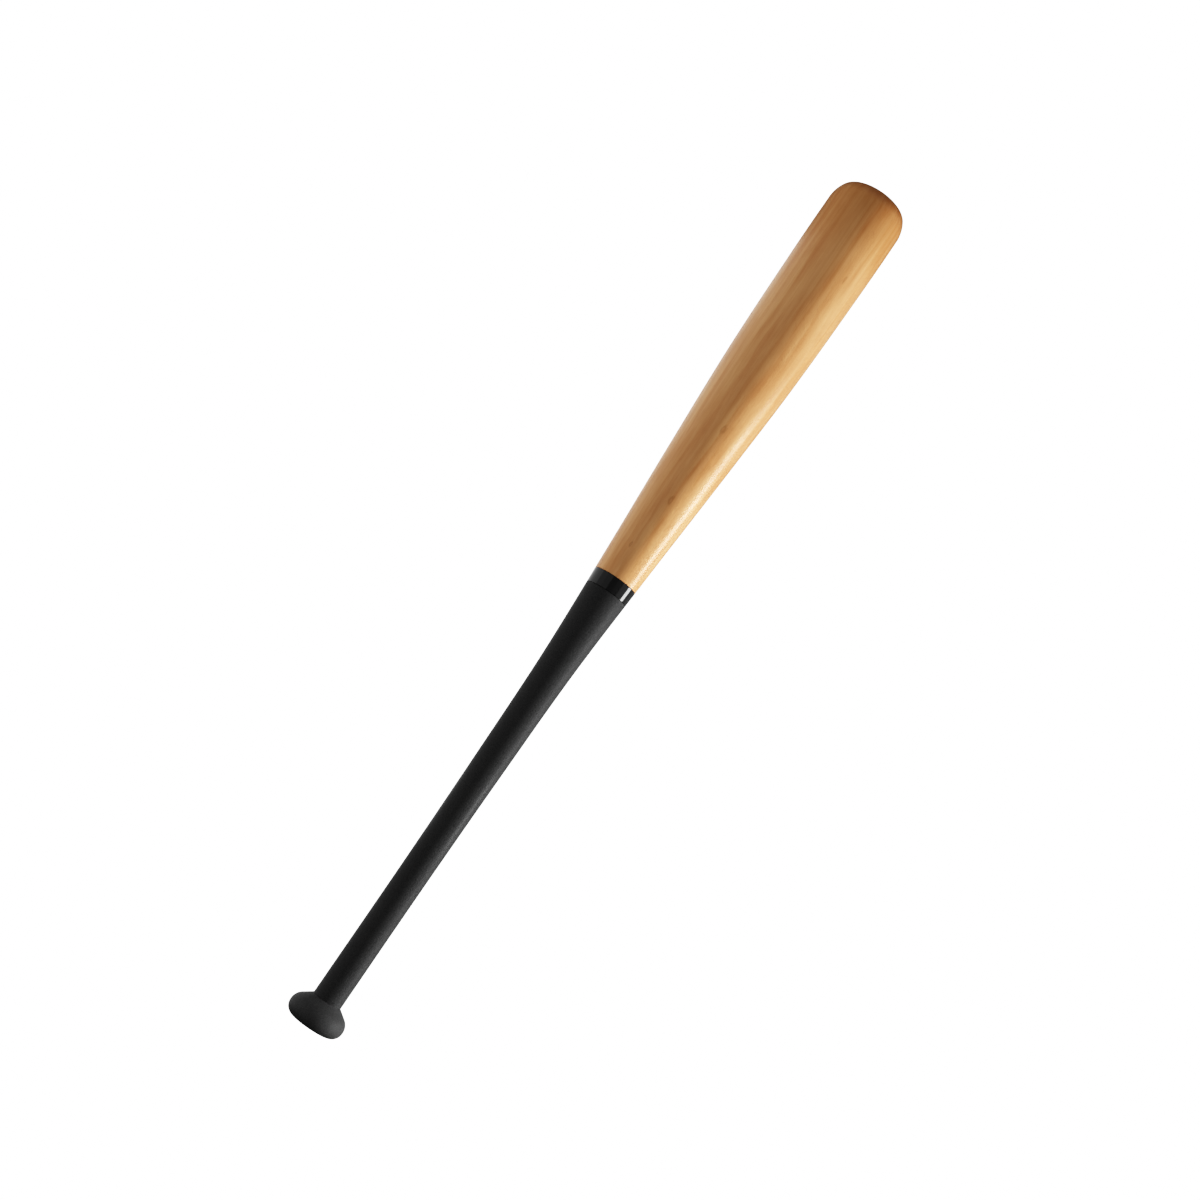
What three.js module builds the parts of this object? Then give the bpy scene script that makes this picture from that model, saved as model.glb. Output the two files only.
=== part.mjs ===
// Two-piece baseball bat. A turned wood barrel ends in a tapered tenon, which is bonded into a
// moulded tubular handle. A gloss ring covers the joint and a moulded knob closes the other end.
//
// Millimetres. The bat's axis is +Z. The origin is the centre of the knob's flat end, so the knob
// is at the bottom and the barrel's rounded tip is at the top. Every piece is turned on that one
// axis, so each is a closed outline of (radius, height) points spun by a LatheGeometry.

import * as THREE from "three";

// ---- Driving dimensions ----------------------------------------------------------------------

const FACETS = 40; // round the axis
const RING_STEP = 24; // height between two rings of points on a long taper
const ARC_STEP = THREE.MathUtils.degToRad(12); // between two points on a rounded edge

const LENGTH = 813; // 32 inches
const BARREL_DIAMETER = 68; // at its widest
const TIP_SHOULDER_RADIUS = 29; // turns the barrel's side slowly inwards
const TIP_SHOULDER_TURN = THREE.MathUtils.degToRad(30); // how far it turns before the corner
const TIP_CORNER_RADIUS = 9.5; // the tighter round between shoulder and dome
const TIP_DOME_RADIUS = 240; // the nearly flat end itself

// The outside taper, as a turner's calipers would read it at every 100 mm.
const FIRST_STATION = 40;
const STATION_STEP = 100;
const STATION_DIAMETERS = [24.6, 24.8, 26.6, 30.2, 40.7, 52.8, 63.3, 67.6];

const KNOB_DIAMETER = 48.6;
const KNOB_HEEL_RADIUS = 8.6; // rounds the flat end into the rim
const KNOB_RIM_WIDTH = 0.6; // the straight band between the two rounds
const KNOB_BROW_RADIUS = 10.4; // rounds the rim into the cone
const KNOB_CONE_SLOPE = THREE.MathUtils.degToRad(35); // the cone's rise towards the handle

const JOINT_HEIGHT = 422; // where the barrel's shoulder sits on the ring
const COLLAR_LENGTH = 13;
const TENON_LENGTH = 132; // from the shoulder to the tenon's end, through ring and handle

const HANDLE_WALL = 3;
const SLEEVE_THICKNESS = 1.2; // the elastomer bond between tenon and handle
const PLUG_HEAD = 4; // the plug's flush head, which the handle's end stands on
const PLUG_LENGTH = 16;

const SEAM = 0.12; // hairline between two outer pieces
const FIT_GAP = 0.3; // between two hidden faces

// ---- Outlines --------------------------------------------------------------------------------

const point = (radius, height) => new THREE.Vector2(radius, height);

// Points on an arc about (radius, height), from one angle to another; angle 0 points outwards.
function arc(radius, height, size, start, end) {
  const steps = Math.max(1, Math.round(Math.abs(end - start) / ARC_STEP));
  return Array.from({ length: steps + 1 }, (_, i) => {
    const angle = start + ((end - start) * i) / steps;
    return point(radius + size * Math.cos(angle), height + size * Math.sin(angle));
  });
}

// The tip's shoulder, corner and dome are arcs that touch each other. The dome's centre is on the
// axis, and the shoulder starts straight up from the barrel's side.
const barrelRadius = BARREL_DIAMETER / 2;
const tighter = TIP_SHOULDER_RADIUS - TIP_CORNER_RADIUS;
const shoulderRadius = barrelRadius - TIP_SHOULDER_RADIUS;
const cornerRadius = shoulderRadius + tighter * Math.cos(TIP_SHOULDER_TURN);
const domeCentre = LENGTH - TIP_DOME_RADIUS;
const cornerHeight =
  domeCentre + Math.sqrt((TIP_DOME_RADIUS - TIP_CORNER_RADIUS) ** 2 - cornerRadius ** 2);
const shoulderHeight = cornerHeight - tighter * Math.sin(TIP_SHOULDER_TURN);
const touchAngle = Math.atan2(cornerHeight - domeCentre, cornerRadius);

// The outside surface from the handle to the start of the tip's shoulder, as one smooth curve.
const taper = new THREE.SplineCurve([
  point(STATION_DIAMETERS[0] / 2, 0),
  ...STATION_DIAMETERS.map((d, i) => point(d / 2, FIRST_STATION + i * STATION_STEP)),
  point(barrelRadius, shoulderHeight),
]).getPoints(400);

function outsideRadius(height) {
  const above = taper.findIndex((p) => p.y >= height);
  const [a, b] = [taper[Math.max(above - 1, 0)], taper[above]];
  const share = b.y > a.y ? (height - a.y) / (b.y - a.y) : 0;
  return THREE.MathUtils.lerp(a.x, b.x, share);
}

// The outside surface between two heights, moved in by depth. All pieces share one set of ring
// heights, so walls that lie inside each other stay parallel.
function surface(from, to, depth = 0) {
  const heights = [from];
  for (let h = Math.ceil((from + 1) / RING_STEP) * RING_STEP; h < to - 1; h += RING_STEP) {
    heights.push(h);
  }
  heights.push(to);
  return heights.map((h) => point(outsideRadius(h) - depth, h));
}

// ---- Pieces ----------------------------------------------------------------------------------

const collarBottom = JOINT_HEIGHT - COLLAR_LENGTH;
const tenonEnd = JOINT_HEIGHT - TENON_LENGTH;
const sleeveDepth = HANDLE_WALL + FIT_GAP;
const tenonDepth = sleeveDepth + SLEEVE_THICKNESS + FIT_GAP;

// A solid that reaches the axis at both ends.
const solid = (side) => [point(0, side[0].y), ...side, point(0, side.at(-1).y)];

// A ring or tube: up its outer side, then down its inner side to where it began.
const tube = (outer, inner) => [...outer, ...inner.toReversed(), outer[0]];

function barrel() {
  const tenon = surface(tenonEnd, JOINT_HEIGHT, tenonDepth);
  const side = surface(JOINT_HEIGHT, shoulderHeight);
  const tip = [
    ...arc(shoulderRadius, shoulderHeight, TIP_SHOULDER_RADIUS, 0, TIP_SHOULDER_TURN).slice(1),
    ...arc(cornerRadius, cornerHeight, TIP_CORNER_RADIUS, TIP_SHOULDER_TURN, touchAngle).slice(1),
    point(0, LENGTH),
  ];
  return [point(0, tenonEnd), ...tenon, ...side, ...tip];
}

function jointCollar() {
  const [from, to] = [collarBottom, JOINT_HEIGHT - SEAM];
  return tube(surface(from, to), surface(from, to, tenonDepth - FIT_GAP));
}

function tenonSleeve() {
  const [from, to] = [tenonEnd, collarBottom - SEAM];
  return tube(surface(from, to, sleeveDepth), surface(from, to, tenonDepth - FIT_GAP));
}

function handleTube() {
  const [from, to] = [PLUG_HEAD + SEAM, collarBottom - SEAM];
  return tube(surface(from, to), surface(from, to, HANDLE_WALL));
}

function handleCore() {
  return solid(surface(PLUG_LENGTH + FIT_GAP, tenonEnd - FIT_GAP, sleeveDepth));
}

function knob() {
  const rim = KNOB_DIAMETER / 2;
  const bore = STATION_DIAMETERS[0] / 2 + SEAM;
  const heel = arc(rim - KNOB_HEEL_RADIUS, KNOB_HEEL_RADIUS, KNOB_HEEL_RADIUS, -Math.PI / 2, 0);
  const browHeight = KNOB_HEEL_RADIUS + KNOB_RIM_WIDTH;
  const browEnd = Math.PI / 2 - KNOB_CONE_SLOPE;
  const brow = arc(rim - KNOB_BROW_RADIUS, browHeight, KNOB_BROW_RADIUS, 0, browEnd);
  const coneFoot = brow.at(-1);
  const coneTop = coneFoot.y + (coneFoot.x - bore) * Math.tan(KNOB_CONE_SLOPE);
  return tube([...heel, ...brow], [point(bore, 0), point(bore, coneTop)]);
}

function knobPlug() {
  const head = STATION_DIAMETERS[0] / 2;
  const stem = head - sleeveDepth;
  return solid([point(head, 0), point(head, PLUG_HEAD), point(stem, PLUG_HEAD), point(stem, PLUG_LENGTH)]);
}

// ---- Finishes --------------------------------------------------------------------------------

const lacqueredWood = { color: 0xcf9a5f, roughness: 0.2, metalness: 0 };
const glossBlack = { color: 0x0b0b0b, roughness: 0.08, metalness: 0 };
const matteBlack = { color: 0x1c1c1c, roughness: 0.6, metalness: 0 };
const elastomer = { color: 0x2b2b2b, roughness: 0.8, metalness: 0 };
const rigidFoam = { color: 0xd8cfae, roughness: 0.95, metalness: 0 };

// ---- Assembly --------------------------------------------------------------------------------

const PIECES = [
  ["barrel", barrel, lacqueredWood],
  ["joint_collar", jointCollar, glossBlack],
  ["tenon_sleeve", tenonSleeve, elastomer],
  ["handle_tube", handleTube, matteBlack],
  ["handle_core", handleCore, rigidFoam],
  ["knob", knob, matteBlack],
  ["knob_plug", knobPlug, matteBlack],
];

const bat = new THREE.Group();
bat.rotation.x = Math.PI / 2; // a lathe turns about Y, and the bat's axis is Z
for (const [name, outline, finish] of PIECES) {
  const geometry = new THREE.LatheGeometry(outline(), FACETS);
  const piece = new THREE.Mesh(geometry, new THREE.MeshStandardMaterial(finish));
  piece.name = name;
  bat.add(piece);
}

export default bat;
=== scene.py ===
"""Looks for a two-piece baseball bat: a lacquered wood barrel, a gloss ring and a matte moulded handle.

The bat stands on its knob in the frame of its CAD model, with +Z up its axis. Lengths are metres.
Every piece is turned on that axis, so each operator draws an outline of (radius, height) points
and hands it to one Geometry Nodes lathe.
"""

import math

import bpy
import numpy as np
from mathutils import Matrix, Vector


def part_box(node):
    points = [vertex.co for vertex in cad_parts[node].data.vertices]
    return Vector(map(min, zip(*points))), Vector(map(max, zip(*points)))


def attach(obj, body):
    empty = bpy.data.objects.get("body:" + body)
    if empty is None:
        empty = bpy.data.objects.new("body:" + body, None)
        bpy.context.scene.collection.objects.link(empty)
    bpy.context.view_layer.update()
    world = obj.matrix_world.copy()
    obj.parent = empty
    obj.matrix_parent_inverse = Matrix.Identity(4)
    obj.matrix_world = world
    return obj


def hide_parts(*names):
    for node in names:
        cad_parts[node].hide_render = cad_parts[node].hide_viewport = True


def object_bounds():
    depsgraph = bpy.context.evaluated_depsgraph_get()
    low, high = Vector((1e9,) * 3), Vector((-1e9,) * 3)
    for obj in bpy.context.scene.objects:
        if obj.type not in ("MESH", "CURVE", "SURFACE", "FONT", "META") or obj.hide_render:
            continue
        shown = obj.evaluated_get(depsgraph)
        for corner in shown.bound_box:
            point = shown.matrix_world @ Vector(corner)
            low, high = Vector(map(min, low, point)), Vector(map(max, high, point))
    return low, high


bl_info = {
    "name": "Two-Piece Baseball Bat",
    "version": (1, 0, 0),
    "blender": (4, 5, 0),
    "location": "View3D > Sidebar > Bat",
    "description": "Turns a bat's wood barrel, joint ring, handle and knob, and lights them in a studio",
    "category": "Add Mesh",
}

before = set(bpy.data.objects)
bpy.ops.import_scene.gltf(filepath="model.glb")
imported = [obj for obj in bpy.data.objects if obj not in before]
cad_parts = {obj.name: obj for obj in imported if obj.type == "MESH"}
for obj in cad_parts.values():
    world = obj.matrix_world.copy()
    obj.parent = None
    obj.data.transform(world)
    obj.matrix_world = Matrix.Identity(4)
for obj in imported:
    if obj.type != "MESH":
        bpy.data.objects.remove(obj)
CAD_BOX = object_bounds()

MM = 0.001
BAT_LENGTH = CAD_BOX[1].z - CAD_BOX[0].z
TIP_HEIGHT = BAT_LENGTH - 20 * MM  # where the barrel's side starts to round into its end
JOINT_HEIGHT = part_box("joint_collar")[1].z
SEAM = 0.12 * MM  # hairline between two outer pieces, as the CAD model leaves it

HEIGHT_DIGITS = 6  # heights are told apart to a micrometre

# The floor lies well below the bat, so that it doesn't block a view of the underside.
FLOOR_DROP = 1.2
FLOOR_RADIUS = 40.0
FLOOR_SIDES = 96

# A round tent of soft panels stands about the bat, and a narrow bright softbox inside it is the
# key light. Turns are from the camera's side towards +X, and a glow of 1 is as bright as white.
ROOM_GLOW = 0.06
TENT_RADIUS = 1.6
TENT_HEIGHT = 1.9
TENT_MIDDLE = 0.41
TENT_STEP = 30  # degrees from one panel's middle to the next
TENT_GLOWS = {
    -150: 0.62,
    -120: 0.62,
    -90: 0.62,
    -60: 0.38,
    -30: 0.32,
    0: 0.12,
    30: 0.16,
    60: 0.42,
    90: 0.75,
    120: 0.2,
    150: 0.1,
    180: 0.12,
}
TOP_HEIGHT = 1.6  # a small panel overhead fills in the barrel's end and casts no highlight
TOP_WIDTH = 0.9
TOP_GLOW = 0.5
KEY_TURN = math.radians(89)
KEY_DISTANCE = 1.0
KEY_WIDTH = 0.34
KEY_BANDS = (  # bottom, top and glow of each stretch: the box dims towards its top
    (-0.15, 0.7, 7.8),
    (0.7, 0.76, 5.4),
    (0.76, 0.82, 3.0),
    (0.82, 0.88, 1.2),
)

# The picture's tone curve: how steep its toe is, how early its shoulder starts, and its steps.
TONE_TOE = 1.6
TONE_SHOULDER = 0.187
TONE_STEPS = (0.01, 0.02, 0.04, 0.08, 0.14, 0.22, 0.32, 0.45, 0.6, 0.8)
COMBINED_CURVE = 3  # the curve of all three channels, after those of red, green and blue

SENSOR_WIDTH = 36.0  # of the camera, in millimetres


# ---- Colours ---------------------------------------------------------------------------------


def srgb(hex_code):
    """Linear red, green and blue of a colour given as an sRGB hex string."""
    shares = [int(hex_code[i : i + 2], 16) / 255 for i in (1, 3, 5)]
    return tuple(s / 12.92 if s <= 0.04045 else ((s + 0.055) / 1.055) ** 2.4 for s in shares)


def rgba(rgb):
    """A colour property or triple with full opacity added, as a shader socket wants it."""
    return (*rgb, 1.0)


# ---- Properties ------------------------------------------------------------------------------


def length(name, description, size_in_mm):
    """A length property."""
    return bpy.props.FloatProperty(
        name=name,
        description=description,
        default=size_in_mm * MM,
        min=0.0,
        precision=5,
        unit="LENGTH",
    )


def colour(name, description, hex_code):
    """A colour property."""
    return bpy.props.FloatVectorProperty(
        name=name,
        description=description,
        default=srgb(hex_code),
        min=0.0,
        max=1.0,
        subtype="COLOR",
    )


class BatSizes(bpy.types.PropertyGroup):
    facets: bpy.props.IntProperty(
        name="Facets",
        description="Flat faces round each turned piece",
        default=144,
        min=24,
        max=256,
    )
    ring_step: length("Ring step", "Height between two rings of points on the long taper", 4)
    tip_shoulder: length("Tip shoulder", "Radius that turns the barrel's side slowly inwards", 29)
    tip_shoulder_turn: bpy.props.FloatProperty(
        name="Tip shoulder turn",
        description="How far the shoulder turns inwards before the corner",
        default=math.radians(30),
        subtype="ANGLE",
    )
    tip_corner: length("Tip corner", "Radius of the tighter round between shoulder and dome", 9.5)
    tip_dome: length("Tip dome", "Radius of the barrel's nearly flat end", 240)
    knob_heel: length("Knob heel", "Radius that rounds the knob's flat end into its rim", 8.6)
    knob_rim: length("Knob rim", "Width of the straight band round the knob", 0.6)
    knob_brow: length("Knob brow", "Radius that rounds the knob's rim into its cone", 10.4)
    knob_slope: bpy.props.FloatProperty(
        name="Knob slope",
        description="Rise of the knob's cone towards the handle",
        default=math.radians(35),
        subtype="ANGLE",
    )
    wood_edge: length("Wood edge", "Round on the edges of the turned wood", 0.5)
    ring_edge: length("Ring edge", "Round on the edges of the joint ring", 0.25)
    moulded_edge: length("Moulded edge", "Round on the edges of the moulded pieces", 0.35)


class BatColours(bpy.types.PropertyGroup):
    wood_pale: colour("Pale wood", "Wood between the growth rings", "#EEB883")
    wood_deep: colour("Deep wood", "Late wood, at the end of each growth ring", "#CF8C57")
    # the wood marks' colour also tints the end grain and the painted shade towards the tip
    wood_mark_and_tip_shade: colour("Wood marks", "Mineral streaks, and wood cut across the grain", "#97561F")
    handle_black: colour("Handle black", "The moulded handle", "#424242")
    knob_black: colour("Knob black", "The moulded knob and its plug", "#4B4B4B")
    black_lacquer: colour("Black lacquer", "The joint ring", "#232323")
    foam: colour("Foam", "The handle's rigid core", "#D9CFA8")
    lacquer_sheen: colour("Lacquer sheen", "Amber tint of what the lacquer reflects", "#FFF0CF")
    elastomer: colour("Elastomer", "The bond between tenon and handle", "#2A2A2C")
    floor: colour("Floor", "The seamless studio floor and its backdrop", "#FFFFFF")


class BatStudio(bpy.types.PropertyGroup):
    lens: bpy.props.FloatProperty(
        name="Lens",
        description="Focal length on a 36 mm wide sensor",
        default=52.8,
        unit="CAMERA",
    )
    distance: length("Camera distance", "From the camera to the point it aims at", 1417.2)
    aim_height: length("Aim height", "Height on the bat's axis that the camera aims at", 402.1)
    aim_aside: length("Aim aside", "How far left of the bat's axis the camera aims", 1.15)
    tilt: bpy.props.FloatProperty(
        name="Tilt",
        description="How far the camera looks up from square to the bat",
        default=math.radians(8.16),
        subtype="ANGLE",
    )
    roll: bpy.props.FloatProperty(
        name="Roll",
        description="How far the bat leans to the right in the picture",
        default=math.radians(34.45),
        subtype="ANGLE",
    )


# ---- Outlines --------------------------------------------------------------------------------


def cad_side(node, pick):
    """One side of a turned CAD node as {height: radius}, with pick max for outside and min for inside."""
    corners = np.array([v.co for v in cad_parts[node].data.vertices])
    heights = np.round(corners[:, 2], HEIGHT_DIGITS)
    radii = np.hypot(corners[:, 0], corners[:, 1])
    off_axis = radii > MM
    return {h: pick(radii[off_axis & (heights == h)]) for h in np.unique(heights[off_axis])}


def smooth_taper():
    """The bat's outside radius at any height: a natural cubic spline through the CAD model's rings."""
    spacing = 15 * MM  # the least between two knots: where pieces meet, the rings are nearer
    rings = {}
    for node, lowest in (("handle_tube", 0), ("joint_collar", 0), ("barrel", JOINT_HEIGHT)):
        for height, radius in cad_side(node, max).items():
            if height >= lowest:  # the barrel below the joint is its tenon, hidden in the handle
                rings[height] = max(radius, rings.get(height, 0))
    knots = []
    for height in sorted(rings):
        if height < TIP_HEIGHT and (not knots or height - knots[-1] > spacing):
            knots.append(height)
    x = np.array(knots)
    y = np.array([rings[h] for h in knots])
    step = np.diff(x)
    system = np.eye(len(x))
    bends = np.zeros(len(x))
    for i in range(1, len(x) - 1):
        system[i, i - 1 : i + 2] = step[i - 1], 2 * (step[i - 1] + step[i]), step[i]
        bends[i] = 6 * ((y[i + 1] - y[i]) / step[i] - (y[i] - y[i - 1]) / step[i - 1])
    bend = np.linalg.solve(system, bends)

    def radius_at(height):
        i = np.clip(np.searchsorted(x, height) - 1, 0, len(step) - 1)
        before, after, s = height - x[i], x[i + 1] - height, step[i]
        curve = (bend[i] * after**3 + bend[i + 1] * before**3) / (6 * s)
        low = (y[i] / s - bend[i] * s / 6) * after
        high = (y[i + 1] / s - bend[i + 1] * s / 6) * before
        return curve + low + high

    return radius_at


TAPER = smooth_taper()


def outside(low, high, step):
    """The bat's smooth outside between two heights."""
    heights = np.linspace(low, high, max(2, round((high - low) / step) + 1))
    return [(float(TAPER(h)), float(h)) for h in heights]


def inside(node, low, high, pick=min):
    """A hidden CAD wall between two heights, from the bottom up."""
    margin = 0.01 * MM
    return [(r, h) for h, r in cad_side(node, pick).items() if low - margin < h < high + margin]


def arc(radius, height, size, start, end, step=math.radians(4)):
    """Points on an arc about (radius, height); angle 0 points away from the axis and 90 degrees up."""
    angles = np.linspace(start, end, max(2, round(abs(end - start) / step) + 1))
    return [(radius + size * math.cos(a), height + size * math.sin(a)) for a in angles]


def soften(outline, size, closed=False):
    """Rounds each corner of an outline that turns by more than 20 degrees."""
    nearly_straight = math.radians(160)
    longest_share = 0.4  # of a side that a round may use up
    points_in_round = 6
    points = [Vector(p) for p in outline]
    if closed:
        points = points[:-1]
    out = []
    for i, corner in enumerate(points):
        if not closed and i in (0, len(points) - 1):
            out.append(corner)
            continue
        before, after = points[i - 1] - corner, points[(i + 1) % len(points)] - corner
        if before.angle(after) > nearly_straight:
            out.append(corner)
            continue
        reach = min(size, longest_share * before.length, longest_share * after.length)
        start = corner + before.normalized() * reach
        end = corner + after.normalized() * reach
        for share in np.linspace(0, 1, points_in_round):
            out.append(start.lerp(corner, share).lerp(corner.lerp(end, share), share))
    if closed:
        out.append(out[0])
    return out


# ---- The lathe -------------------------------------------------------------------------------


def add(tree, kind, settings=None, inputs=()):
    """Adds a node, sets its properties, and fills its inputs with values or other nodes' outputs.

    The inputs are a dictionary, or a tuple in the order of the node's sockets.
    """
    made = tree.nodes.new(kind)
    for name, value in (settings or {}).items():
        setattr(made, name, value)
    given = inputs.items() if isinstance(inputs, dict) else enumerate(inputs)
    for key, value in given:
        if isinstance(value, bpy.types.Node):
            value = value.outputs[0]
        if isinstance(value, bpy.types.NodeSocket):
            tree.links.new(value, made.inputs[key])
        else:
            made.inputs[key].default_value = value
    return made


def lathe_tree():
    """Geometry Nodes group that spins an outline in the XZ plane round the Z axis."""
    made = bpy.data.node_groups.get("Outline Lathe")
    if made:
        return made
    tree = bpy.data.node_groups.new("Outline Lathe", "GeometryNodeTree")
    socket = tree.interface.new_socket
    socket("Outline", in_out="INPUT", socket_type="NodeSocketGeometry")
    socket("Facets", in_out="INPUT", socket_type="NodeSocketInt")
    socket("Weld Distance", in_out="INPUT", socket_type="NodeSocketFloat")
    socket("Sharp Angle", in_out="INPUT", socket_type="NodeSocketFloat")
    socket("Material", in_out="INPUT", socket_type="NodeSocketMaterial")
    socket("Piece", in_out="OUTPUT", socket_type="NodeSocketGeometry")
    given = add(tree, "NodeGroupInput")
    outline, facets = given.outputs["Outline"], given.outputs["Facets"]

    # a grid with one row of points for each facet's edge, and one column for each outline point
    count = add(tree, "GeometryNodeAttributeDomainSize", {"component": "MESH"}, (outline,))
    rows = add(tree, "ShaderNodeMath", {"operation": "ADD"}, (facets, 1.0))
    grid = add(tree, "GeometryNodeMeshGrid", inputs={"Vertices X": rows, "Vertices Y": count})
    index = add(tree, "GeometryNodeInputIndex")
    along = add(tree, "ShaderNodeMath", {"operation": "MODULO"}, (index, count))
    share = add(tree, "ShaderNodeMath", {"operation": "DIVIDE"}, (index, count))
    row = add(tree, "ShaderNodeMath", {"operation": "FLOOR"}, (share,))

    # each point takes its radius and height from the outline and its turn from its row
    place = add(tree, "GeometryNodeInputPosition")
    sampled = add(
        tree,
        "GeometryNodeSampleIndex",
        {"data_type": "FLOAT_VECTOR", "domain": "POINT"},
        {"Geometry": outline, "Value": place, "Index": along},
    )
    flat = add(tree, "ShaderNodeSeparateXYZ", inputs=(sampled,))
    facet_turn = add(tree, "ShaderNodeMath", {"operation": "DIVIDE"}, (math.tau, facets))
    row_turn = add(tree, "ShaderNodeMath", {"operation": "MULTIPLY"}, (row, facet_turn))
    cosine = add(tree, "ShaderNodeMath", {"operation": "COSINE"}, (row_turn,))
    sine = add(tree, "ShaderNodeMath", {"operation": "SINE"}, (row_turn,))
    x = add(tree, "ShaderNodeMath", {"operation": "MULTIPLY"}, (flat.outputs["X"], cosine))
    y = add(tree, "ShaderNodeMath", {"operation": "MULTIPLY"}, (flat.outputs["X"], sine))
    spun = add(tree, "ShaderNodeCombineXYZ", inputs={"X": x, "Y": y, "Z": flat.outputs["Z"]})
    turned = add(tree, "GeometryNodeSetPosition", inputs={"Geometry": grid, "Position": spun})
    welded = add(
        tree,
        "GeometryNodeMergeByDistance",
        inputs={"Geometry": turned, "Distance": given.outputs["Weld Distance"]},
    )

    angle = add(tree, "GeometryNodeInputMeshEdgeAngle")
    sharp_angle = given.outputs["Sharp Angle"]
    sharp = add(tree, "ShaderNodeMath", {"operation": "GREATER_THAN"}, (angle, sharp_angle))
    smooth = add(tree, "GeometryNodeSetShadeSmooth", {"domain": "FACE"}, {"Geometry": welded})
    edged = add(
        tree,
        "GeometryNodeSetShadeSmooth",
        {"domain": "EDGE"},
        {"Geometry": smooth, "Selection": sharp, "Shade Smooth": False},
    )
    real = add(tree, "GeometryNodeRealizeInstances", inputs={"Geometry": edged})
    finished = add(
        tree,
        "GeometryNodeSetMaterial",
        inputs={"Geometry": real, "Material": given.outputs["Material"]},
    )
    add(tree, "NodeGroupOutput", inputs={"Piece": finished})
    return tree


def turn(name, outline, material):
    """Spins an outline into a closed mesh piece with the given material."""
    blank_mesh = bpy.data.meshes.new(name + "_outline")
    points = [(r, 0.0, h) for r, h in outline]
    blank_mesh.from_pydata(points, [(i, i + 1) for i in range(len(points) - 1)], [])
    blank = bpy.data.objects.new(name + "_outline", blank_mesh)
    bpy.context.scene.collection.objects.link(blank)
    lathe = blank.modifiers.new("Lathe", "NODES")
    lathe.node_group = lathe_tree()
    values = {
        "Facets": bpy.context.scene.bat_sizes.facets,
        "Weld Distance": 0.002 * MM,
        "Sharp Angle": math.radians(50),
        "Material": material,
    }
    for socket, value in values.items():
        lathe[lathe.node_group.interface.items_tree[socket].identifier] = value
    bpy.context.view_layer.update()
    shown = blank.evaluated_get(bpy.context.evaluated_depsgraph_get())
    mesh = bpy.data.meshes.new_from_object(shown)
    mesh.name = name
    mesh.materials.clear()
    mesh.materials.append(material)
    bpy.data.objects.remove(blank)
    bpy.data.meshes.remove(blank_mesh)
    piece = bpy.data.objects.new(name, mesh)
    bpy.context.scene.collection.objects.link(piece)
    return piece


def stand_in(piece, node):
    """Puts a finished piece in the frame in place of its CAD node."""
    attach(piece, "root")
    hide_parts(node)
    return piece


# ---- Materials -------------------------------------------------------------------------------


def new_material(name):
    """An empty node material and its node tree."""
    made = bpy.data.materials.new(name)
    made.use_nodes = True
    made.node_tree.nodes.clear()
    return made, made.node_tree


def finish_material(tree, inputs):
    """Adds the surface shader with its inputs, and the output."""
    shader = add(tree, "ShaderNodeBsdfPrincipled", inputs=inputs)
    add(tree, "ShaderNodeOutputMaterial", inputs={"Surface": shader})


def millimetres(tree, period=(1, 1, 1), rotation=(0, 0, 0), shift=(0, 0, 0)):
    """Object coordinates where one unit is the given period, in millimetres along X, Y and Z."""
    place = add(tree, "ShaderNodeTexCoord").outputs["Object"]
    return add(
        tree,
        "ShaderNodeMapping",
        {"vector_type": "POINT"},
        {
            "Vector": place,
            "Location": shift,
            "Rotation": rotation,
            "Scale": tuple(1 / (p * MM) for p in period),
        },
    )


def unevenness(tree, period, detail=2.0, roughness=0.5):
    """Random highs and lows between 0 and 1, about a period of millimetres apart on each axis."""
    place = millimetres(tree, period)
    inputs = {"Vector": place, "Scale": 1.0, "Detail": detail, "Roughness": roughness}
    return add(tree, "ShaderNodeTexNoise", inputs=inputs)


# How a Map Range node goes from one range to another. Its inputs are the value, the range that it
# is taken from and the range that it is brought to.
SMOOTHLY = {"interpolation_type": "SMOOTHSTEP"}
EVENLY = {"interpolation_type": "LINEAR"}

# The colour sockets of a Mix node, which share their names with its other sockets.
MIX_FIRST, MIX_SECOND, MIX_RESULT = 6, 7, 2

# Heights on the handle between which hands have polished its matte finish.
HANDLE_WEAR = (177 * MM, 232 * MM)

# Pin knots and mineral flecks: height, turn from the camera's side towards +X, and half sizes
# round and along the bat.
WOOD_MARKS = (
    (451 * MM, math.radians(-17), 1.4 * MM, 4.0 * MM),
    (497 * MM, math.radians(1), 2.2 * MM, 5.0 * MM),
    (569 * MM, math.radians(6), 2.5 * MM, 6.0 * MM),
    (730 * MM, math.radians(28), 1.3 * MM, 6.0 * MM),
    (628 * MM, math.radians(165), 1.6 * MM, 8.0 * MM),
    (535 * MM, math.radians(-120), 2.4 * MM, 5.0 * MM),
)


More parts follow.
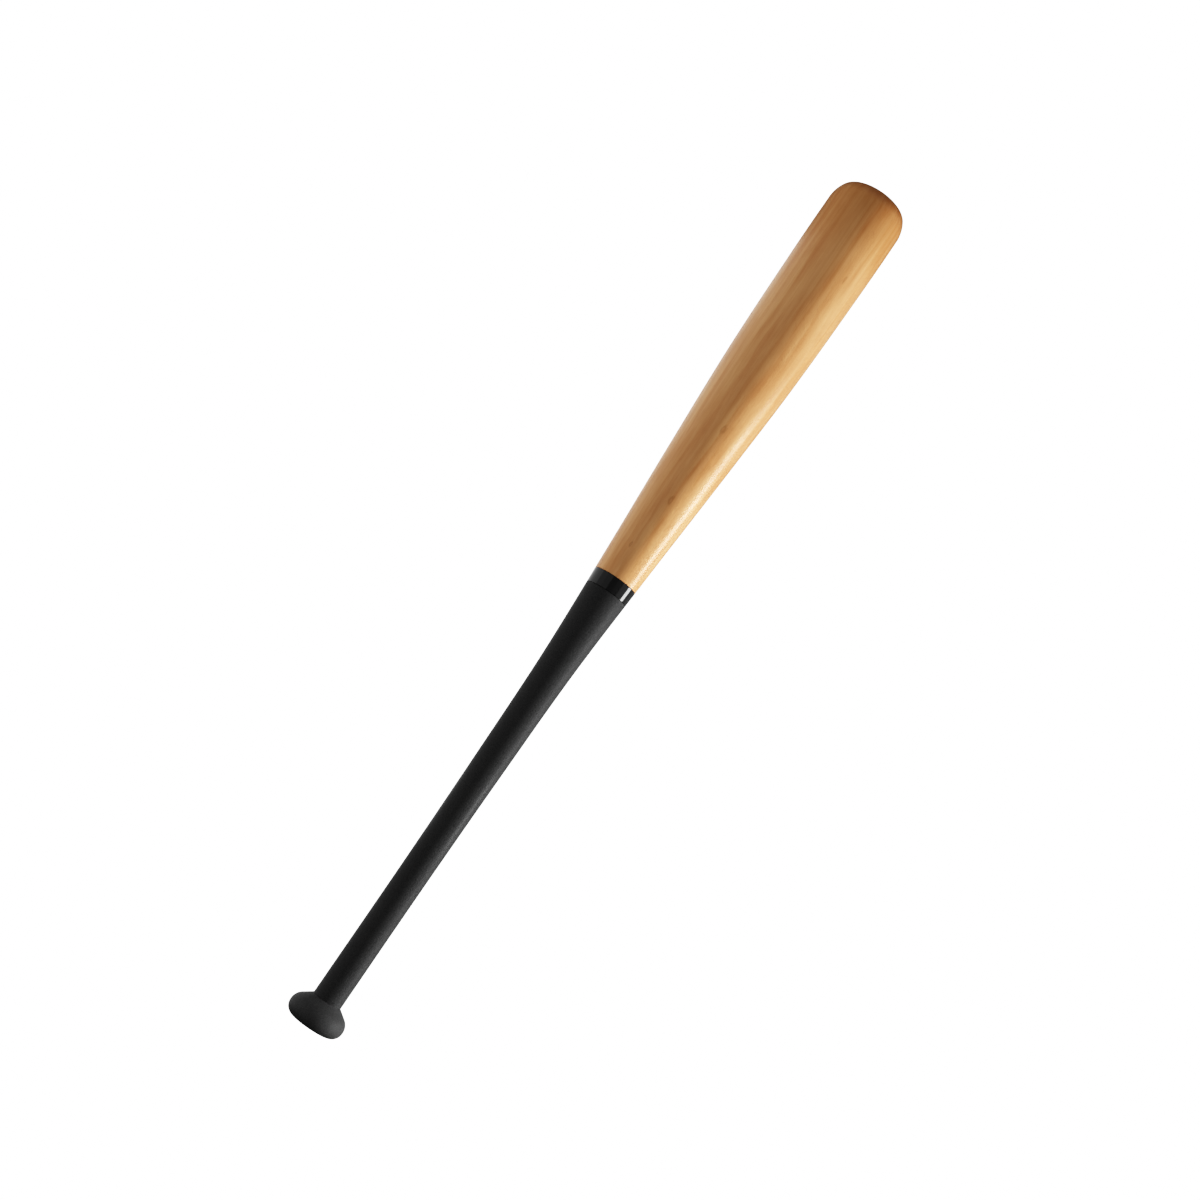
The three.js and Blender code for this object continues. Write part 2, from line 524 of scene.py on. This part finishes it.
def wood_marks(tree):
    """A mask that is 1 on each mark's rim, a bit less in its middle and 0 away from it."""
    # each distance from a mark's centre is in half sizes of the mark, and smudged a little
    blur = unevenness(tree, (2.2, 2.2, 6))
    smudge = add(tree, "ShaderNodeMapRange", EVENLY, (blur, 0.2, 0.8, -0.45, 0.45))
    total = 0.0
    for height, turned, width, reach in WOOD_MARKS:
        radius = float(TAPER(height))
        centre = Vector((radius * math.sin(turned), -radius * math.cos(turned), height))
        size = Vector((width, width, reach))
        shift = tuple(-c / s for c, s in zip(centre, size))
        place = millimetres(tree, tuple(size / MM), shift=shift)
        away = add(tree, "ShaderNodeVectorMath", {"operation": "LENGTH"}, (place,)).outputs["Value"]
        uneven = add(tree, "ShaderNodeMath", {"operation": "ADD"}, (away, smudge))
        middle = add(tree, "ShaderNodeMapRange", SMOOTHLY, (uneven, 0.1, 0.5, 0.6, 1.0))
        rim = add(tree, "ShaderNodeMapRange", SMOOTHLY, (uneven, 0.4, 1.1, 1.0, 0.0))
        mark = add(tree, "ShaderNodeMath", {"operation": "MULTIPLY"}, (middle, rim))
        total = add(tree, "ShaderNodeMath", {"operation": "MAXIMUM"}, (total, mark))
    return total


def growth_rings(tree):
    """A mask that is 1 on the late wood of each growth ring and fades out towards both sides."""
    # the tree's heart lay well outside the bat and nearly parallel to it, so that the rings cut
    # the surface at a slant and show several times wider than they are
    ring_width = 7.5
    heart = (-26.0, 43.0, 0.0)
    lean = (math.radians(0.9), math.radians(-0.6), 0.0)
    trunk = millimetres(tree, rotation=lean, shift=heart)
    wander = unevenness(tree, (30, 30, 190), detail=3)
    sway = add(tree, "ShaderNodeMapRange", EVENLY, (wander, 0, 1, -12, 12))
    across = add(tree, "ShaderNodeVectorMath", {"operation": "MULTIPLY"}, (trunk, (1, 1, 0)))
    reach = add(tree, "ShaderNodeVectorMath", {"operation": "LENGTH"}, (across,)).outputs["Value"]
    swayed = add(tree, "ShaderNodeMath", {"operation": "ADD"}, (reach, sway))
    age = add(tree, "ShaderNodeMath", {"operation": "DIVIDE"}, (swayed, ring_width))
    season = add(tree, "ShaderNodeMath", {"operation": "FRACT"}, (age,))
    late = add(tree, "ShaderNodeMapRange", SMOOTHLY, (season, 0.1, 0.82, 0.0, 1.0))
    over = add(tree, "ShaderNodeMapRange", SMOOTHLY, (season, 0.82, 1.0, 1.0, 0.0))
    return add(tree, "ShaderNodeMath", {"operation": "MULTIPLY"}, (late, over))


def lacquered_maple():
    """Turned and sanded maple under a clear gloss lacquer.

    To the eye: pale honey wood with faint growth rings and darker streaks that run along the bat, a soft
    mottle, small smudged pin knots and a dark end, partly end grain cut across and partly painted shade
    that starts 75 mm below the tip.
    Fine ridges of grain under the lacquer spread each highlight sideways, so that it has a
    bright core and soft edges.
    """
    colours = bpy.context.scene.bat_colours
    made, tree = new_material("Lacquered Maple")

    fibre = unevenness(tree, (0.9, 0.9, 38), detail=3, roughness=0.6)
    streak = unevenness(tree, (4.5, 4.5, 170), detail=3)
    mottle = unevenness(tree, (15, 15, 55), detail=3)
    # ray flecks are 0.1 mm wide on real maple, and are drawn 0.6 mm wide so that they show
    fleck = unevenness(tree, (0.6, 0.6, 3.2), detail=1)
    # plain wood starts this far towards its deep colour, and each pattern then moves it by
    # between its last two numbers
    deep = 0.22
    for how, pattern in (
        (EVENLY, (fibre, 0.25, 0.75, -0.12, 0.12)),
        (SMOOTHLY, (streak, 0.3, 0.72, -0.15, 0.22)),
        (SMOOTHLY, (mottle, 0.3, 0.7, -0.14, 0.18)),
        (SMOOTHLY, (fleck, 0.64, 0.8, 0.0, 0.16)),
        (EVENLY, (growth_rings(tree), 0.0, 1.0, 0.0, 0.2)),
    ):
        part = add(tree, "ShaderNodeMapRange", how, pattern)
        deep = add(tree, "ShaderNodeMath", {"operation": "ADD"}, (deep, part))
    marks = add(tree, "ShaderNodeMath", {"operation": "MULTIPLY"}, (wood_marks(tree), 0.3))

    # the wood darkens towards the tip: faintly from 75 mm below it, which is painted shade, and strongly
    # over the rounded end, which is partly end grain that drinks the lacquer and partly painted shade
    up = add(tree, "ShaderNodeSeparateXYZ", inputs=(millimetres(tree),)).outputs["Z"]
    tip = BAT_LENGTH / MM
    painted_tip_shade = add(tree, "ShaderNodeMapRange", SMOOTHLY, (up, tip - 75, tip - 4, 0.0, 0.3))
    cut = add(tree, "ShaderNodeMapRange", SMOOTHLY, (up, tip - 14, tip - 2, 0.0, 0.5))
    end_grain_and_painted_shade = add(tree, "ShaderNodeMath", {"operation": "ADD"}, (painted_tip_shade, cut))

    wood = rgba(colours.wood_pale)
    # the last blend is end grain together with painted shade towards the tip
    for share, tint in (
        (deep, colours.wood_deep),
        (marks, colours.wood_mark_and_tip_shade),
        (end_grain_and_painted_shade, colours.wood_mark_and_tip_shade),
    ):
        sockets = {"Factor": share, MIX_FIRST: wood, MIX_SECOND: rgba(tint)}
        wood = add(tree, "ShaderNodeMix", {"data_type": "RGBA"}, sockets).outputs[MIX_RESULT]

    grain_bump = add(
        tree,
        "ShaderNodeBump",
        inputs={"Height": fibre, "Strength": 0.12, "Distance": 0.2 * MM},
    )
    ripple = unevenness(tree, (6, 6, 14), detail=1)
    lacquer_bump = add(
        tree,
        "ShaderNodeBump",
        inputs={"Height": ripple, "Strength": 0.04, "Distance": 0.1 * MM},
    )
    round_the_bat = add(tree, "ShaderNodeTangent", {"direction_type": "RADIAL", "axis": "Z"})
    finish_material(
        tree,
        {
            "Base Color": wood,
            "Roughness": 0.27,
            "IOR": 1.5,
            "Specular IOR Level": 0.5,
            "Specular Tint": rgba(colours.lacquer_sheen),
            "Anisotropic": 0.8,
            "Tangent": round_the_bat,
            "Coat Weight": 0.2,
            "Coat Roughness": 0.1,
            "Coat IOR": 1.5,
            "Normal": grain_bump,
            "Coat Normal": lacquer_bump,
        },
    )
    return made


def gloss_black_lacquer():
    """Hard black lacquer, sprayed and buffed on the joint ring.

    To the eye: a mirror-black band that shows the studio's lights as crisp strips.
    """
    made, tree = new_material("Gloss Black Lacquer")
    ripple = unevenness(tree, (5, 5, 5), detail=1)
    bump = add(
        tree,
        "ShaderNodeBump",
        inputs={"Height": ripple, "Strength": 0.08, "Distance": 0.1 * MM},
    )
    finish_material(
        tree,
        {
            "Base Color": rgba(bpy.context.scene.bat_colours.black_lacquer),
            "Roughness": 0.3,
            "IOR": 1.5,
            "Specular IOR Level": 0.0,
            "Coat Weight": 1.0,
            "Coat Roughness": 0.03,
            "Coat IOR": 1.5,
            "Coat Normal": bump,
        },
    )
    return made


def matte_moulding(name, black, worn=None):
    """Black moulded composite with a fine matte texture from its mould.

    To the eye: a soft even black that turns the lights into broad grey sheens, with a fine
    grain and slightly smoother patches. Between the two worn heights hands have polished it,
    and its sheen is narrower and brighter. The mould's real grit is near 0.1 mm and is drawn
    several times coarser so that it shows.
    """
    made, tree = new_material(name)
    grit = unevenness(tree, (0.7, 0.7, 0.7), detail=3, roughness=0.65)
    patch = unevenness(tree, (14, 14, 40), detail=3)
    bump = add(
        tree,
        "ShaderNodeBump",
        inputs={"Height": grit, "Strength": 0.13, "Distance": 0.12 * MM},
    )
    paler = tuple(1.5 * c for c in black)
    speckle = add(tree, "ShaderNodeMapRange", SMOOTHLY, (grit, 0.3, 0.75, 0.0, 1.0))
    sockets = {"Factor": speckle, MIX_FIRST: rgba(black), MIX_SECOND: rgba(paler)}
    base = add(tree, "ShaderNodeMix", {"data_type": "RGBA"}, sockets).outputs[MIX_RESULT]
    rough = add(tree, "ShaderNodeMapRange", EVENLY, (patch, 0.3, 0.7, 0.48, 0.57))
    if worn:
        # the polish comes and goes over 35 mm at either end
        up = add(tree, "ShaderNodeSeparateXYZ", inputs=(millimetres(tree),)).outputs["Z"]
        low, high = worn[0] / MM, worn[1] / MM
        above = add(tree, "ShaderNodeMapRange", SMOOTHLY, (up, low - 25, low + 10, 0.0, 1.0))
        below = add(tree, "ShaderNodeMapRange", SMOOTHLY, (up, high - 10, high + 25, 1.0, 0.0))
        rubbed = add(tree, "ShaderNodeMath", {"operation": "MULTIPLY"}, (above, below))
        polish = add(tree, "ShaderNodeMapRange", SMOOTHLY, (patch, 0.25, 0.6, 0.085, 0.17))
        polish = add(tree, "ShaderNodeMath", {"operation": "MULTIPLY"}, (rubbed, polish))
        rough = add(tree, "ShaderNodeMath", {"operation": "SUBTRACT"}, (rough, polish))
    finish_material(
        tree,
        {
            "Base Color": base,
            "Roughness": rough,
            "IOR": 1.5,
            "Specular IOR Level": 0.08,
            "Normal": bump,
        },
    )
    return made


def rigid_foam():
    """Poured rigid polyurethane foam with a cut skin. To the eye: dull cream with fine open cells, their
    hollows darkened by painted shade.
    """
    made, tree = new_material("Rigid Foam")
    cells = add(
        tree,
        "ShaderNodeTexVoronoi",
        {"feature": "DISTANCE_TO_EDGE"},
        {"Vector": millimetres(tree, (0.7, 0.7, 0.9)), "Scale": 1.0},
    )
    distance = cells.outputs["Distance"]
    wall = add(tree, "ShaderNodeMapRange", SMOOTHLY, (distance, 0.0, 0.25, 0.0, 1.0))
    cream = bpy.context.scene.bat_colours.foam
    # the cells' hollows are painted darker: painted shade in the pits
    painted_pit_shade = tuple(0.55 * c for c in cream)
    sockets = {"Factor": wall, MIX_FIRST: rgba(cream), MIX_SECOND: rgba(painted_pit_shade)}
    base = add(tree, "ShaderNodeMix", {"data_type": "RGBA"}, sockets).outputs[MIX_RESULT]
    bump = add(
        tree,
        "ShaderNodeBump",
        {"invert": True},
        {"Height": wall, "Strength": 0.6, "Distance": 0.3 * MM},
    )
    finish_material(tree, {"Base Color": base, "Roughness": 0.9, "Normal": bump})
    return made


def bonding_elastomer():
    """Cured two-part urethane squeezed between two walls. To the eye: dark, dull and faintly smeared."""
    made, tree = new_material("Bonding Elastomer")
    smear = unevenness(tree, (3, 3, 9), detail=4)
    dark = bpy.context.scene.bat_colours.elastomer
    pale = tuple(2.2 * c for c in dark)
    sockets = {"Factor": smear, MIX_FIRST: rgba(dark), MIX_SECOND: rgba(pale)}
    base = add(tree, "ShaderNodeMix", {"data_type": "RGBA"}, sockets).outputs[MIX_RESULT]
    rough = add(tree, "ShaderNodeMapRange", EVENLY, (smear, 0.3, 0.7, 0.55, 0.75))
    bump = add(
        tree,
        "ShaderNodeBump",
        inputs={"Height": smear, "Strength": 0.3, "Distance": 0.3 * MM},
    )
    finish_material(tree, {"Base Color": base, "Roughness": rough, "Normal": bump})
    return made


# ---- Pieces ----------------------------------------------------------------------------------


class TurnBarrel(bpy.types.Operator):
    """Turns the wood barrel with its domed tip and tapered tenon"""

    bl_idname = "bat.turn_barrel"
    bl_label = "Turn Barrel"

    def execute(self, context):
        sizes = context.scene.bat_sizes
        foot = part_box("barrel")[0].z
        turned = sizes.tip_shoulder_turn
        tighter = sizes.tip_shoulder - sizes.tip_corner
        shoulder_radius = float(TAPER(TIP_HEIGHT)) - sizes.tip_shoulder
        corner_radius = shoulder_radius + tighter * math.cos(turned)
        dome_centre = BAT_LENGTH - sizes.tip_dome
        rise = math.sqrt((sizes.tip_dome - sizes.tip_corner) ** 2 - corner_radius**2)
        corner_height = dome_centre + rise
        shoulder_height = corner_height - tighter * math.sin(turned)
        touch = math.atan2(rise, corner_radius)
        tenon = inside("barrel", foot, JOINT_HEIGHT + SEAM)
        side = outside(JOINT_HEIGHT + SEAM, shoulder_height, sizes.ring_step)
        shoulder = arc(shoulder_radius, shoulder_height, sizes.tip_shoulder, 0, turned)
        corner = arc(corner_radius, corner_height, sizes.tip_corner, turned, touch)
        dome = arc(0, dome_centre, sizes.tip_dome, touch, math.pi / 2, math.radians(0.5))
        dome[-1] = (0.0, BAT_LENGTH)
        body = soften([(0, foot), *tenon, *side], sizes.wood_edge)
        outline = body + shoulder[1:] + corner[1:] + dome[1:]
        stand_in(turn("wood_barrel", outline, lacquered_maple()), "barrel")
        return {"FINISHED"}


def turn_tube(name, node, outer, edge, material):
    """Turns a tube or ring with the given outside and the CAD node's own inside."""
    bore = inside(node, outer[0][1], outer[-1][1])
    outline = soften([*outer, *reversed(bore), outer[0]], edge, closed=True)
    return turn(name, outline, material)


class TurnJointRing(bpy.types.Operator):
    """Turns the gloss ring that covers the joint between barrel and handle"""

    bl_idname = "bat.turn_joint_ring"
    bl_label = "Turn Joint Ring"

    def execute(self, context):
        sizes = context.scene.bat_sizes
        low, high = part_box("joint_collar")
        outer = outside(low.z, high.z, sizes.ring_step)
        ring = turn_tube("joint_ring", "joint_collar", outer, sizes.ring_edge, gloss_black_lacquer())
        stand_in(ring, "joint_collar")
        return {"FINISHED"}


class TurnHandle(bpy.types.Operator):
    """Turns the moulded handle tube"""

    bl_idname = "bat.turn_handle"
    bl_label = "Turn Handle"

    def execute(self, context):
        sizes = context.scene.bat_sizes
        low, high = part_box("handle_tube")
        outer = outside(low.z, high.z, sizes.ring_step)
        black = context.scene.bat_colours.handle_black
        finish = matte_moulding("Matte Handle Moulding", black, worn=HANDLE_WEAR)
        handle = turn_tube("moulded_handle", "handle_tube", outer, sizes.moulded_edge, finish)
        stand_in(handle, "handle_tube")
        return {"FINISHED"}


class TurnKnob(bpy.types.Operator):
    """Turns the moulded knob that is bonded round the handle's end"""

    bl_idname = "bat.turn_knob"
    bl_label = "Turn Knob"

    def execute(self, context):
        sizes = context.scene.bat_sizes
        low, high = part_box("knob")
        rim = high.x
        bore = min(cad_side("knob", min).values())
        quarter = math.pi / 2
        heel = arc(rim - sizes.knob_heel, low.z + sizes.knob_heel, sizes.knob_heel, -quarter, 0)
        brow_height = low.z + sizes.knob_heel + sizes.knob_rim
        brow = arc(
            rim - sizes.knob_brow, brow_height, sizes.knob_brow, 0, quarter - sizes.knob_slope
        )
        outline = [(bore, low.z), *heel, *brow, (bore, high.z), (bore, low.z)]
        finish = matte_moulding("Matte Knob Moulding", context.scene.bat_colours.knob_black)
        knob = turn("moulded_knob", soften(outline, sizes.moulded_edge, closed=True), finish)
        stand_in(knob, "knob")
        return {"FINISHED"}


class TurnKnobPlug(bpy.types.Operator):
    """Turns the plug that closes the handle, flush with the knob's end"""

    bl_idname = "bat.turn_knob_plug"
    bl_label = "Turn Knob Plug"

    def execute(self, context):
        sizes = context.scene.bat_sizes
        low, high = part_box("knob_plug")
        stem = cad_side("knob_plug", min)[round(high.z, HEIGHT_DIGITS)]
        head_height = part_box("handle_tube")[0].z - SEAM
        outline = [
            (0, low.z),
            (high.x, low.z),
            (high.x, head_height),
            (stem, head_height),
            (stem, high.z),
            (0, high.z),
        ]
        finish = matte_moulding("Matte Plug Moulding", context.scene.bat_colours.knob_black)
        plug = turn("knob_end_plug", soften(outline, sizes.moulded_edge), finish)
        stand_in(plug, "knob_plug")
        return {"FINISHED"}


class TurnInnerParts(bpy.types.Operator):
    """Turns the hidden bonding sleeve and the handle's foam core"""

    bl_idname = "bat.turn_inner_parts"
    bl_label = "Turn Inner Parts"

    def execute(self, context):
        edge = context.scene.bat_sizes.moulded_edge
        low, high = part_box("tenon_sleeve")
        outer = inside("tenon_sleeve", low.z, high.z, max)
        sleeve = turn_tube("bonding_sleeve", "tenon_sleeve", outer, edge, bonding_elastomer())
        stand_in(sleeve, "tenon_sleeve")
        low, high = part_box("handle_core")
        side = inside("handle_core", low.z, high.z)
        core = turn("foam_core", soften([(0, low.z), *side, (0, high.z)], edge), rigid_foam())
        stand_in(core, "handle_core")
        return {"FINISHED"}


# ---- Stage -----------------------------------------------------------------------------------


def seamless_white():
    """Matte white studio paper, lit to an even white. To the eye: no horizon and no shadow."""
    made, tree = new_material("Seamless White Paper")
    white = rgba(bpy.context.scene.bat_colours.floor)
    lit = add(tree, "ShaderNodeEmission", inputs={"Color": white, "Strength": 1.0})
    add(tree, "ShaderNodeOutputMaterial", inputs={"Surface": lit})
    return made


def make_floor():
    """A wide round floor well below the bat. Its light is left out of the bat's own lighting."""
    edge = [
        (FLOOR_RADIUS * math.cos(a), FLOOR_RADIUS * math.sin(a), -FLOOR_DROP)
        for a in np.linspace(0, math.tau, FLOOR_SIDES, endpoint=False)
    ]
    mesh = bpy.data.meshes.new("studio_floor")
    mesh.from_pydata(edge, [], [range(len(edge))])
    mesh.materials.append(seamless_white())
    floor = bpy.data.objects.new("studio_floor", mesh)
    bpy.context.scene.collection.objects.link(floor)
    floor.visible_diffuse = False
    floor.visible_glossy = False
    floor.visible_shadow = False


def make_world():
    """White for the camera, and a dim neutral room for everything that the bat reflects."""
    world = bpy.data.worlds.new("Studio Room")
    world.use_nodes = True
    tree = world.node_tree
    tree.nodes.clear()
    seen = add(tree, "ShaderNodeBackground", inputs={"Color": (1, 1, 1, 1), "Strength": 1.0})
    room = add(
        tree, "ShaderNodeBackground", inputs={"Color": (1, 1, 1, 1), "Strength": ROOM_GLOW}
    )
    path = add(tree, "ShaderNodeLightPath")
    mixed = add(
        tree,
        "ShaderNodeMixShader",
        inputs={0: path.outputs["Is Camera Ray"], 1: room, 2: seen},
    )
    add(tree, "ShaderNodeOutputWorld", inputs={"Surface": mixed})
    bpy.context.scene.world = world


def make_panel(name, place, facing, width, height, glow):
    """Adds a softbox that the camera doesn't see. At a glow of 1 its face is as bright as white."""
    light = bpy.data.lights.new(name, "AREA")
    light.shape = "RECTANGLE"
    light.size = width
    light.size_y = height
    light.energy = math.pi * width * height * glow
    box = bpy.data.objects.new(name, light)
    bpy.context.scene.collection.objects.link(box)
    box.location = place
    box.rotation_euler = facing.to_track_quat("-Z", "Y").to_euler()
    box.visible_camera = False
    return box


def make_upright_panel(name, turned, distance, middle, width, height, glow):
    """An upright panel that faces the bat's axis from the given turn and distance."""
    outwards = Vector((math.sin(turned), -math.cos(turned), 0))
    place = distance * outwards + Vector((0, 0, middle))
    make_panel(name, place, -outwards, width, height, glow)


def make_lights():
    """The tent's panels stand edge to edge, with the key strip inside them on the right."""
    panel_width = 2 * TENT_RADIUS * math.tan(math.radians(TENT_STEP / 2))
    for degrees, glow in TENT_GLOWS.items():
        make_upright_panel(
            f"Tent Panel {degrees}",
            math.radians(degrees),
            TENT_RADIUS,
            TENT_MIDDLE,
            panel_width,
            TENT_HEIGHT,
            glow,
        )
    for low, high, glow in KEY_BANDS:
        make_upright_panel(
            f"Key Strip {high}",
            KEY_TURN,
            KEY_DISTANCE,
            (low + high) / 2,
            KEY_WIDTH,
            high - low,
            glow,
        )
    above = Vector((0, 0, TOP_HEIGHT))
    top = make_panel("Top Panel", above, Vector((0, 0, -1)), TOP_WIDTH, TOP_WIDTH, TOP_GLOW)
    top.visible_glossy = False


def make_camera(studio):
    """The camera looks along +Y and a little up, and is rolled so that the bat leans right."""
    tilt, roll = studio.tilt, studio.roll
    forward = Vector((0, math.cos(tilt), math.sin(tilt)))
    upright = Vector((0, -math.sin(tilt), math.cos(tilt)))
    aside = Vector((1, 0, 0))
    up = upright * math.cos(roll) - aside * math.sin(roll)
    right = upright * math.sin(roll) + aside * math.cos(roll)
    data = bpy.data.cameras.new("Studio Camera")
    data.lens = studio.lens
    data.sensor_width = SENSOR_WIDTH
    camera = bpy.data.objects.new("Studio Camera", data)
    bpy.context.scene.collection.objects.link(camera)
    aim = Vector((-studio.aim_aside, 0, studio.aim_height))
    camera.matrix_world = Matrix.LocRotScale(
        aim - forward * studio.distance, Matrix((right, up, -forward)).transposed(), None
    )
    bpy.context.scene.camera = camera


def set_tone_curve(view):
    """A film-like contrast curve: the toe deepens shadows and the shoulder softens highlights."""
    view.view_transform = "Standard"
    view.use_curve_mapping = True
    curve = view.curve_mapping.curves[COMBINED_CURVE]
    for light in TONE_STEPS:
        steep = light**TONE_TOE
        curve.points.new(light, steep * (1 + TONE_SHOULDER) / (steep + TONE_SHOULDER))
    view.curve_mapping.update()


class SetStage(bpy.types.Operator):
    """Lays the white floor and sets the room, the softboxes and the camera"""

    bl_idname = "bat.set_stage"
    bl_label = "Set Stage"

    def execute(self, context):
        set_tone_curve(context.scene.view_settings)
        make_floor()
        make_world()
        make_lights()
        make_camera(context.scene.bat_studio)
        return {"FINISHED"}


# ---- Add-on ----------------------------------------------------------------------------------

OPERATORS = (
    TurnBarrel,
    TurnJointRing,
    TurnHandle,
    TurnKnob,
    TurnKnobPlug,
    TurnInnerParts,
    SetStage,
)


class BatPanel(bpy.types.Panel):
    """Lists the bat's sizes, colours and operators"""

    bl_idname = "VIEW3D_PT_bat"
    bl_label = "Baseball Bat"
    bl_space_type = "VIEW_3D"
    bl_region_type = "UI"
    bl_category = "Bat"

    def draw(self, context):
        for operator in OPERATORS:
            self.layout.operator(operator.bl_idname)
        for settings in (
            context.scene.bat_sizes,
            context.scene.bat_colours,
            context.scene.bat_studio,
        ):
            box = self.layout.box()
            for name in settings.__annotations__:
                box.prop(settings, name)


SETTINGS = {"bat_sizes": BatSizes, "bat_colours": BatColours, "bat_studio": BatStudio}


def register():
    for made in (*SETTINGS.values(), *OPERATORS, BatPanel):
        bpy.utils.register_class(made)
    for name, settings in SETTINGS.items():
        setattr(bpy.types.Scene, name, bpy.props.PointerProperty(type=settings))


def unregister():
    for name in SETTINGS:
        delattr(bpy.types.Scene, name)
    for made in (BatPanel, *reversed(OPERATORS), *reversed(SETTINGS.values())):
        bpy.utils.unregister_class(made)


def main():
    register()
    bpy.ops.bat.turn_barrel()
    bpy.ops.bat.turn_joint_ring()
    bpy.ops.bat.turn_handle()
    bpy.ops.bat.turn_knob()
    bpy.ops.bat.turn_knob_plug()
    bpy.ops.bat.turn_inner_parts()
    bpy.ops.bat.set_stage()


if __name__ == "__main__":
    main()
